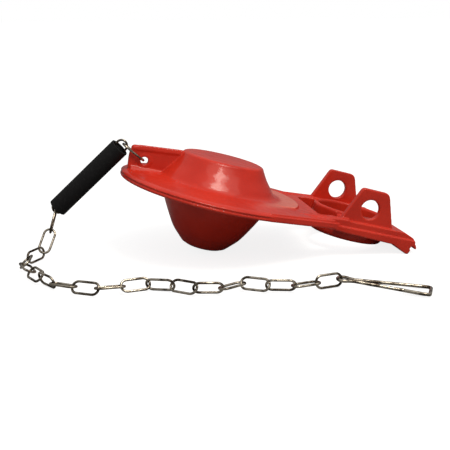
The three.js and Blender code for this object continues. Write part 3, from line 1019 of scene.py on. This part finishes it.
@dataclass(frozen=True)
class ChainLinks:
    """Welded oval wire links, each on the body of the node that it replaces.

    Sizes are in millimetres. The wire is thicker at the weld by the factor called weld.
    """

    length: float = 11.6
    width: float = 5.5
    wire: float = 0.95
    weld: float = 1.2
    weld_core: float = 0.25
    weld_reach: float = 1.1
    bend_steps: int = 24
    length_steps: int = 112
    wire_sides: int = 18
    held: int = 5
    loose: int = 19

    def tree(self) -> NodeTree:
        """Make the node tree that bends one wire link.

        Returns:
            The tree, with named inputs.
        """
        tree = bpy.data.node_groups.new("wire_link", "GeometryNodeTree")
        face = tree.interface
        for name, value in (("Length", self.length * MM), ("Width", self.width * MM),
                            ("Wire", self.wire * MM), ("Weld", self.weld)):
            face.new_socket(name, in_out="INPUT", socket_type="NodeSocketFloat").default_value = value
        face.new_socket("Finish", in_out="INPUT", socket_type="NodeSocketMaterial")
        face.new_socket("Geometry", in_out="OUTPUT", socket_type="NodeSocketGeometry")

        def add(kind: str, inputs: dict, **settings) -> Node:
            node = tree.nodes.new(kind)
            for key, value in settings.items():
                setattr(node, key, value)
            for key, value in inputs.items():
                if isinstance(value, NodeSocket):
                    tree.links.new(value, node.inputs[key])
                else:
                    node.inputs[key].default_value = value
            return node

        def maths(kind: str, first, second) -> NodeSocket:
            return add("ShaderNodeMath", {0: first, 1: second}, operation=kind).outputs[0]

        entry = add("NodeGroupInput", {}).outputs
        wire = entry["Wire"]
        long = maths("SUBTRACT", entry["Length"], wire)
        wide = maths("SUBTRACT", entry["Width"], wire)
        half = maths("MULTIPLY", wide, 0.5)
        oval = add("GeometryNodeCurvePrimitiveQuadrilateral", {"Width": long, "Height": wide})
        bend = add("GeometryNodeFilletCurve", {"Count": self.bend_steps, "Limit Radius": True,
                                               "Curve": oval.outputs["Curve"], "Radius": half}, mode="POLY")
        even = add("GeometryNodeResampleCurve", {"Count": self.length_steps,
                                                 "Curve": bend.outputs["Curve"]})
        seam = add("ShaderNodeCombineXYZ", {"Y": half})
        where = add("GeometryNodeInputPosition", {})
        far = add("ShaderNodeVectorMath", {0: where.outputs[0], 1: seam.outputs[0]}, operation="DISTANCE")
        swell = add("ShaderNodeMapRange", {"From Min": self.weld_core * MM, "To Min": entry["Weld"],
                                           "From Max": self.weld_reach * MM, "To Max": 1.0,
                                           "Value": far.outputs["Value"]}, interpolation_type="SMOOTHSTEP")
        thick = add("GeometryNodeSetCurveRadius", {"Curve": even.outputs["Curve"],
                                                   "Radius": swell.outputs["Result"]})
        around = add("GeometryNodeCurvePrimitiveCircle", {"Resolution": self.wire_sides,
                                                          "Radius": maths("MULTIPLY", wire, 0.5)})
        skin = add("GeometryNodeCurveToMesh", {"Curve": thick.outputs["Curve"],
                                               "Profile Curve": around.outputs["Curve"]})
        soft = add("GeometryNodeSetShadeSmooth", {"Geometry": skin.outputs["Mesh"]})
        real = add("GeometryNodeRealizeInstances", {"Geometry": soft.outputs["Geometry"]})
        paint = add("GeometryNodeSetMaterial", {"Geometry": real.outputs["Geometry"],
                                                "Material": entry["Finish"]})
        add("NodeGroupOutput", {"Geometry": paint.outputs["Geometry"]})
        return tree

    def pattern(self, finish: Material) -> Mesh:
        """Bend one link and keep its mesh.

        Args:
            finish: The wire's material.

        Returns:
            The link's mesh, along x and wide in y, in metres.
        """
        tree = self.tree()
        holder = new_object("link_pattern", [(0, 0, 0)], [])
        step = holder.modifiers.new("link", "NODES")
        step.node_group = tree
        for item in tree.interface.items_tree:
            if item.in_out == "INPUT":
                step[item.identifier] = finish if item.name == "Finish" else item.default_value
        settle(holder)
        mesh = holder.data.copy()
        bpy.data.objects.remove(holder)
        return mesh

    def build(self, finish: Material) -> None:
        """Lay every link and put it on its body.

        Args:
            finish: The wire's material.
        """
        pattern = self.pattern(finish)
        names = ["nose_link"]
        names += [f"float_link_{i}" for i in range(1, self.held + 1)]
        names += [f"chain_link_{i:02d}" for i in range(1, self.loose + 1)]
        rng = np.random.default_rng(SEED)
        for name in names:
            mesh = pattern.copy()
            turns = [Matrix.Rotation(math.pi, 4, axis) for axis in "XZ" if rng.random() < 0.5]
            for turn in turns:
                mesh.transform(turn)
            mesh.transform(Lie.of(name).matrix())
            link = add_object(f"{name}_wire", mesh)
            body = Body.HELD.value if name.startswith("float_link") else name
            dress(link, finish, body, [name])
            smooth_faces(link)


@dataclass(frozen=True)
class FoamFloat:
    """The foam tube round the held links, in millimetres, slit at its ends where they come out."""

    diameter: float = 8.0
    length: float = 37.9
    bore: float = 3.14
    plug: float = 3.0
    mouth: float = 0.9
    slit: Point = (6.1, 1.5)

    def build(self) -> None:
        """Make, dress and place the float."""
        lie = Lie.of("float_tube")
        first = Lie.of("float_link_1")
        across = (first.across - lie.along * first.across.dot(lie.along)).normalized()
        radius, half, soft = self.diameter / 2, self.length / 2, 0.15
        low = arc((radius - soft, soft - half), soft, -90, 0, 6)
        high = arc((radius - soft, half - soft), soft, 0, 90, 6)
        tube = lathe("foam_float", [(0, -half), *low, *high, (0, half)], SIDES_WIDE)
        inside = half - self.plug
        bore = [(0, -inside), (self.bore, -inside), (self.bore, inside), (0, inside)]
        combine(tube, lathe("bore", bore, SIDES_SMALL), Op.CUT)
        start, past = half - self.mouth, half + 1
        mouth = [(0, start), (self.bore, start), (self.bore, past), (0, past)]
        for end in (-1, 1):
            cut = lathe("mouth", [(r, end * z) for r, z in mouth][::end], SIDES_SMALL)
            combine(tube, cut, Op.CUT)
        wide, thick = self.slit[0] / 2, self.slit[1] / 2
        outline = rounded([(-wide, -thick), (wide, -thick), (wide, thick), (-wide, thick)], 0.6)
        combine(tube, prism("slit", outline, -half - 1, half + 1, "Z"), Op.CUT)
        over = lie.along.cross(across)
        turn = Matrix((across, over, lie.along)).transposed().to_4x4()
        tube.data.transform(Matrix.Translation(lie.middle) @ turn)
        smooth_faces(tube, 40)
        dress(tube, FoamFinish().build(), Body.FLOAT.value, ["float_tube"])


@dataclass(frozen=True)
class WireClip:
    """The wire clip in millimetres and degrees: an eye on the last link, two arms, a hook over one."""

    wire: float = 1.3
    length: float = 31.0
    width: float = 9.0
    eye: float = 2.3
    heading: float = -25.0
    bar: float = 10.65
    link_wire: float = 0.95
    gap: float = 0.3

    def path(self) -> list[Vector]:
        """The wire's middle line in its own plane.

        Returns:
            Points in millimetres.
        """
        r, end, half = self.eye, self.length, self.width / 2
        neck = self.wire * 0.7
        beside = self.wire + self.gap
        wire = self.wire
        hook = [(end * 0.7, half - wire * 0.7 + beside, wire * 0.48),
                (end - wire * 1.15, half + beside, wire * 0.48),
                (end, half + beside - wire * 0.48, wire * 0.38), (end + wire * 0.3, wire * 0.57 - half, 0),
                (end - wire * 0.57, -half, 0), (r + wire * 1.35, -neck, 0)]
        front = self.eased([Vector(p) for p in hook], wire * 0.86)
        spread = math.degrees(math.asin(neck / r))
        loop = [Vector((u, v, 0)) for u, v in arc((0, 0), r, -spread - 18, spread + 18 - 360, 40)]
        arm = [Vector((r + wire * 1.35, neck, 0)), Vector((end - wire * 1.05, half - wire * 0.1, 0))]
        return [*front, *loop, *arm]

    @staticmethod
    def eased(points: list[Vector], radius: float, steps: int = 10) -> list[Vector]:
        """Round a path's corners.

        Args:
            points: The corners, ends included.
            radius: How far from a corner the bend starts.
            steps: Pieces in a bend.

        Returns:
            The finer path.
        """
        out = [points[0]]
        for before, corner, after in zip(points, points[1:], points[2:]):
            back, on = before - corner, after - corner
            reach = min(radius, back.length * 0.45, on.length * 0.45)
            start, end = corner + back.normalized() * reach, corner + on.normalized() * reach
            for k in range(steps + 1):
                t = k / steps
                out.append(start * (1 - t) ** 2 + corner * 2 * t * (1 - t) + end * t**2)
        return [*out, points[-1]]

    def build(self, finish: Material) -> None:
        """Make, dress and place the clip.

        Args:
            finish: The wire's material.
        """
        last = Lie.of("chain_link_19")
        low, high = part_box("chain_clip")
        along = last.along if last.along.dot((low + high) / 2 - last.middle) > 0 else -last.along
        hang = last.middle / MM + along * self.bar / 2
        turn = math.radians(self.heading)
        dip = math.asin((hang.z - self.wire / 2 - 0.05) / self.length)
        ahead = Vector((math.cos(turn) * math.cos(dip), math.sin(turn) * math.cos(dip), -math.sin(dip)))
        side = Vector((math.sin(turn), -math.cos(turn), 0))
        over = side.cross(ahead).normalized()
        over = over if over.z > 0 else -over
        hold = (self.link_wire + self.wire) / 2 + self.gap
        middle = hang + ahead * (self.eye - hold)
        path = [middle + ahead * p.x + side * p.y + over * p.z for p in self.path()]
        cap = self.wire / 2
        out, back = (path[0] - path[1]).normalized(), (path[-1] - path[-2]).normalized()
        turns = [math.radians(a) for a in (90, 70, 45, 20)]
        start = [path[0] - out * cap + out * cap * math.sin(a) for a in turns]
        end = [path[-1] - back * cap + back * cap * math.sin(a) for a in reversed(turns)]
        ends = [max(cap * math.cos(a), 0.03) for a in turns]
        line = [*start, path[0] - out * cap, *path[1:-1], path[-1] - back * cap, *end]
        radii = [*ends, *[cap] * len(path), *reversed(ends)]
        clip = sweep("wire_clip", line, radii, 20)
        smooth_faces(clip, 60)
        dress(clip, finish, Body.CLIP.value, ["chain_clip"])


# Floor, light and camera


@dataclass(frozen=True)
class Lamp:
    """A soft lamp, in metres and watts."""

    name: str
    at: Triple
    aim: Triple
    size: Point
    power: float
    warmth: Triple = (1.0, 0.94, 0.84)

    def hang(self) -> None:
        """Hang the lamp and turn it to what it lights."""
        data = bpy.data.lights.new(self.name, "AREA")
        data.shape = "RECTANGLE"
        data.size, data.size_y = self.size
        data.energy = self.power
        data.color = self.warmth
        lamp = add_object(self.name, data)
        lamp.location = self.at
        lamp.rotation_mode = "QUATERNION"
        lamp.rotation_quaternion = (Vector(self.aim) - Vector(self.at)).to_track_quat("-Z", "Y")


@dataclass(frozen=True)
class Studio:
    """A pale floor under a soft sky, with a broad top light and a window light of two panes."""

    floor: float = 0.30
    floor_side: float = 30.0
    glow: float = 0.85
    under: float = 0.30
    horizon: float = 0.20
    zenith: float = 0.66
    full_height: float = 0.85
    lamps: tuple[Lamp, ...] = (
        Lamp("top_light", (0.2, -0.42, 0.92), (0, 0, 0), (1.1, 0.7), 3.4),
        Lamp("window_light", (0.062, -0.215, 0.47), (0, 0, 0.03), (0.13, 0.15), 1.0),
        Lamp("side_pane", (0.165, -0.215, 0.47), (0, 0, 0.03), (0.06, 0.12), 0.15),
    )
    eye: Triple = (-0.058049, -0.317329, 0.096909)
    azimuth: float = -10.509
    elevation: float = 14.198
    roll: float = -0.529
    focal_px: float = 824.04
    frame_px: float = 450.0
    sensor: float = 36.0

    @staticmethod
    def seen(tree: NodeTree) -> NodeSocket:
        """Tell the rays that are seen from those that only light.

        Args:
            tree: The node tree to add to.

        Returns:
            A socket that is 1 for camera rays.
        """
        return tree.nodes.new("ShaderNodeLightPath").outputs["Is Camera Ray"]

    def lay_floor(self) -> None:
        """Lay the floor, white where it is seen and grey in what it throws back."""
        side = self.floor_side
        corners = [(-side, -side, 0), (side, -side, 0), (side, side, 0), (-side, side, 0)]
        floor = new_object("floor", corners, [(0, 1, 2, 3)])
        g = Graph("pale_floor")
        shown = self.seen(g.tree)
        grey, pale = ((v, v, v) for v in (self.under, self.floor))
        g.join(g.blend(shown, grey, pale), g.shader.inputs["Base Color"])
        g.shader.inputs["Roughness"].default_value = 1.0
        g.shader.inputs["Specular IOR Level"].default_value = 0.0
        g.shader.inputs["Emission Color"].default_value = (1, 1, 1, 1)
        g.join(g.ramp(shown, 0.0, 1.0, 0.0, self.glow), g.shader.inputs["Emission Strength"])
        floor.data.materials.append(g.material)

    def world(self) -> None:
        """Light the scene from a sky that is bright above and dim along the horizon, and seen white."""
        world = bpy.data.worlds.new("soft_sky")
        bpy.context.scene.world = world
        world.use_nodes = True
        tree = world.node_tree
        coord = tree.nodes.new("ShaderNodeTexCoord")
        split = tree.nodes.new("ShaderNodeSeparateXYZ")
        tree.links.new(coord.outputs["Generated"], split.inputs[0])
        above = tree.nodes.new("ShaderNodeMapRange")
        above.interpolation_type = "SMOOTHSTEP"
        spread = {"From Min": 0.0, "From Max": self.full_height, "To Min": self.horizon,
                  "To Max": self.zenith}
        for key, number in spread.items():
            above.inputs[key].default_value = number
        tree.links.new(split.outputs["Z"], above.inputs["Value"])
        level = tree.nodes.new("ShaderNodeMath")
        level.operation = "MAXIMUM"
        tree.links.new(above.outputs["Result"], level.inputs[0])
        tree.links.new(self.seen(tree), level.inputs[1])
        tree.links.new(level.outputs[0], tree.nodes["Background"].inputs["Strength"])
        tree.nodes["Background"].inputs["Color"].default_value = (1, 1, 1, 1)

    def camera(self) -> None:
        """Stand the camera where the photograph was taken from."""
        a, e, r = (math.radians(v) for v in (self.azimuth, self.elevation, self.roll))
        back = Vector((math.sin(a) * math.cos(e), -math.cos(a) * math.cos(e), math.sin(e)))
        level = Vector((math.cos(a), math.sin(a), 0))
        rise = back.cross(level)
        right = level * math.cos(r) + rise * math.sin(r)
        up = rise * math.cos(r) - level * math.sin(r)
        data = bpy.data.cameras.new("camera")
        data.sensor_width = self.sensor
        data.sensor_fit = "HORIZONTAL"
        data.lens = self.focal_px / self.frame_px * self.sensor
        data.clip_start, data.clip_end = 0.01, 20.0
        camera = add_object("camera", data)
        camera.matrix_world = Matrix.Translation(self.eye) @ Matrix((right, up, back)).transposed().to_4x4()
        bpy.context.scene.camera = camera

    def build(self) -> None:
        """Set up the floor, the lights and the camera."""
        self.lay_floor()
        self.world()
        for lamp in self.lamps:
            lamp.hang()
        self.camera()
        bpy.context.scene.view_settings.view_transform = "Standard"


def main() -> None:
    """Build the whole scene in order."""
    logging.basicConfig(level=logging.INFO, format="%(name)s: %(message)s")
    Moulding().build()
    finish = WireFinish().build()
    ChainLinks().build(finish)
    FoamFloat().build()
    WireClip().build(finish)
    Studio().build()


if __name__ == "__main__":
    main()
